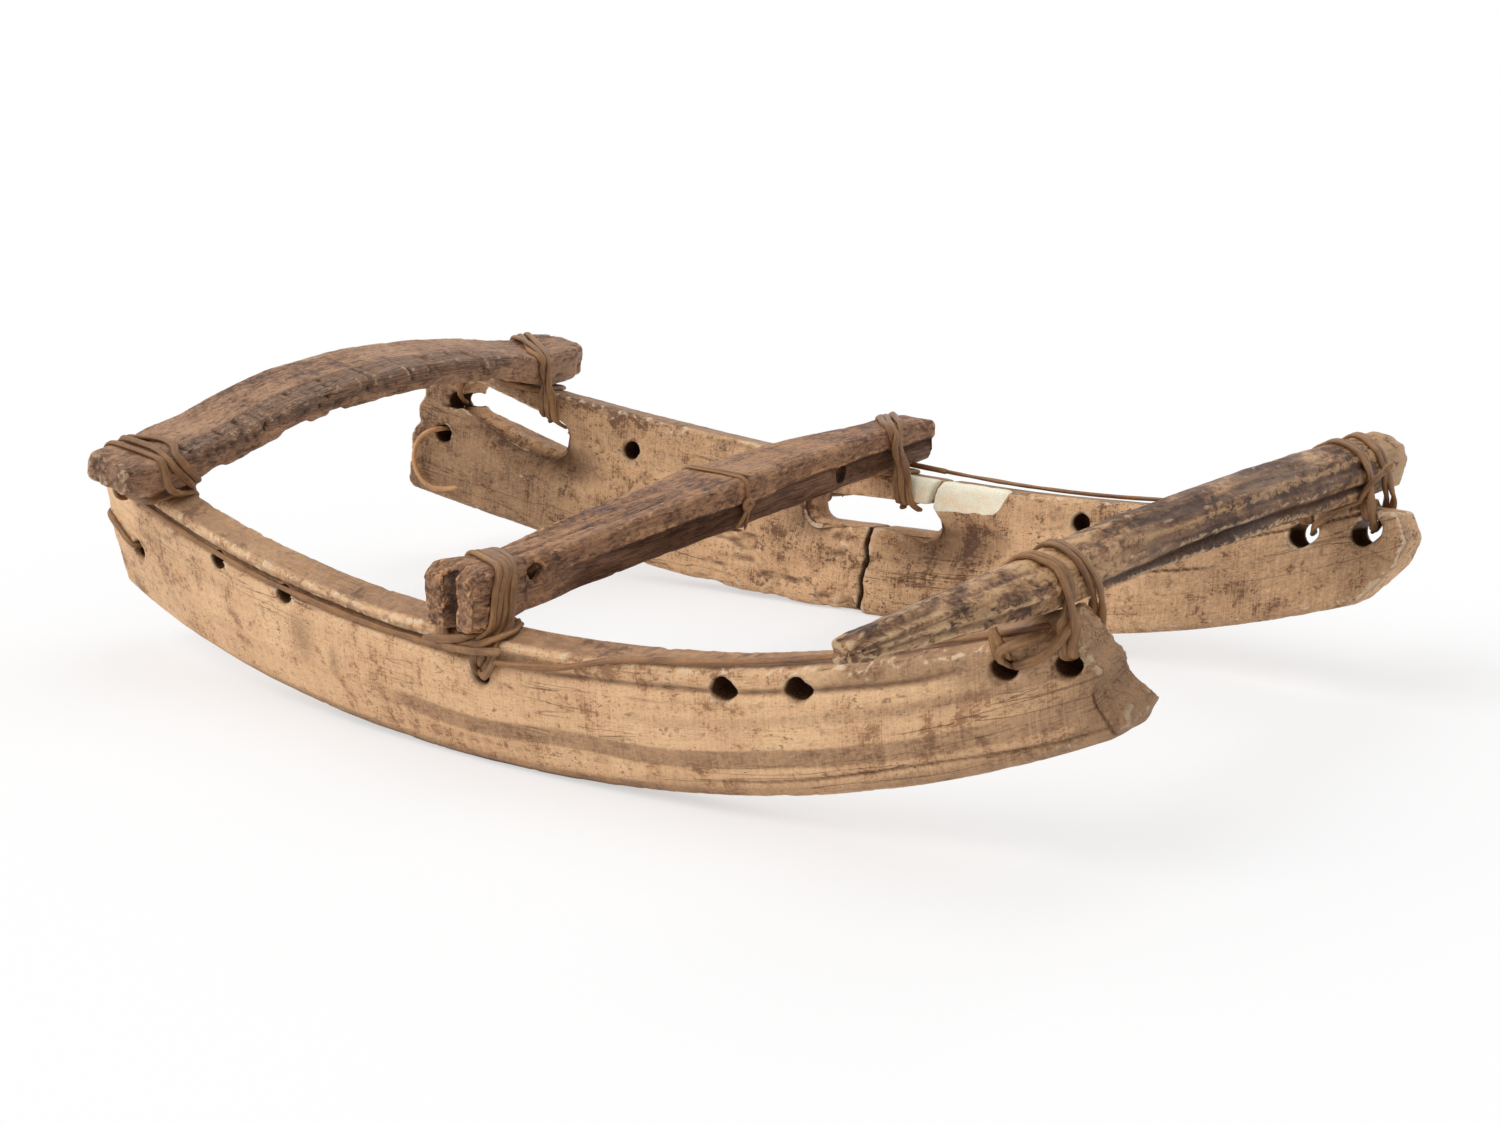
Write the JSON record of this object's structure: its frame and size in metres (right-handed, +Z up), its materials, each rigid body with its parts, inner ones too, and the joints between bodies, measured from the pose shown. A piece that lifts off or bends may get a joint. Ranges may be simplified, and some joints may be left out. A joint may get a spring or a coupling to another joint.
{
  "type": "hand sled",
  "caption": "Small lashed hand sled: two curved runners on edge joined by crosspieces tied with hide thongs, one runner broken at a slot.",
  "frame": {"origin": "on the ground under the middle of the sled's bounding box; the rocker runners touch the ground near x = 0", "axes": "+X the way the sled runs, +Y its left side, +Z up"},
  "size_m": [0.5, 0.3978, 0.1191],
  "materials": {
    "ivory": "weathered walrus ivory or bone, semi-matt, stained brown in the grain",
    "board_wood": "hand-hewn, weathered, dark grey where rough",
    "bar_wood": "hand-hewn, reddish brown, worn",
    "antler": "weathered antler or bone, ridged, with pale worn ridges",
    "hide_thong": "dry rawhide thong",
    "thin_thong": "thin dry rawhide thong"
  },
  "bodies": {
    "root": {"right_runner": "ivory", "left_runner_rear": "ivory", "left_runner_front": "ivory", "rear_crosspiece": "board_wood", "middle_crosspiece": "bar_wood", "front_crosspiece": "antler", "rear_right_lashing": "hide_thong", "rear_left_lashing": "hide_thong", "middle_right_lashing": "hide_thong", "middle_left_lashing": "hide_thong", "front_right_lashing": "hide_thong", "front_left_lashing": "hide_thong", "rear_right_frapping": "hide_thong", "rear_left_frapping": "hide_thong", "middle_right_frapping": "hide_thong", "middle_left_frapping": "hide_thong", "front_right_tie": "hide_thong", "front_left_tie": "hide_thong", "break_splice": "hide_thong", "right_end_loop": "hide_thong", "right_edge_line": "thin_thong", "right_front_line": "thin_thong", "left_edge_line": "thin_thong", "middle_binding": "thin_thong", "binding_knot": "thin_thong", "rear_left_stay": "thin_thong", "hanging_thong": "thin_thong"}
  },
  "joints": []
}
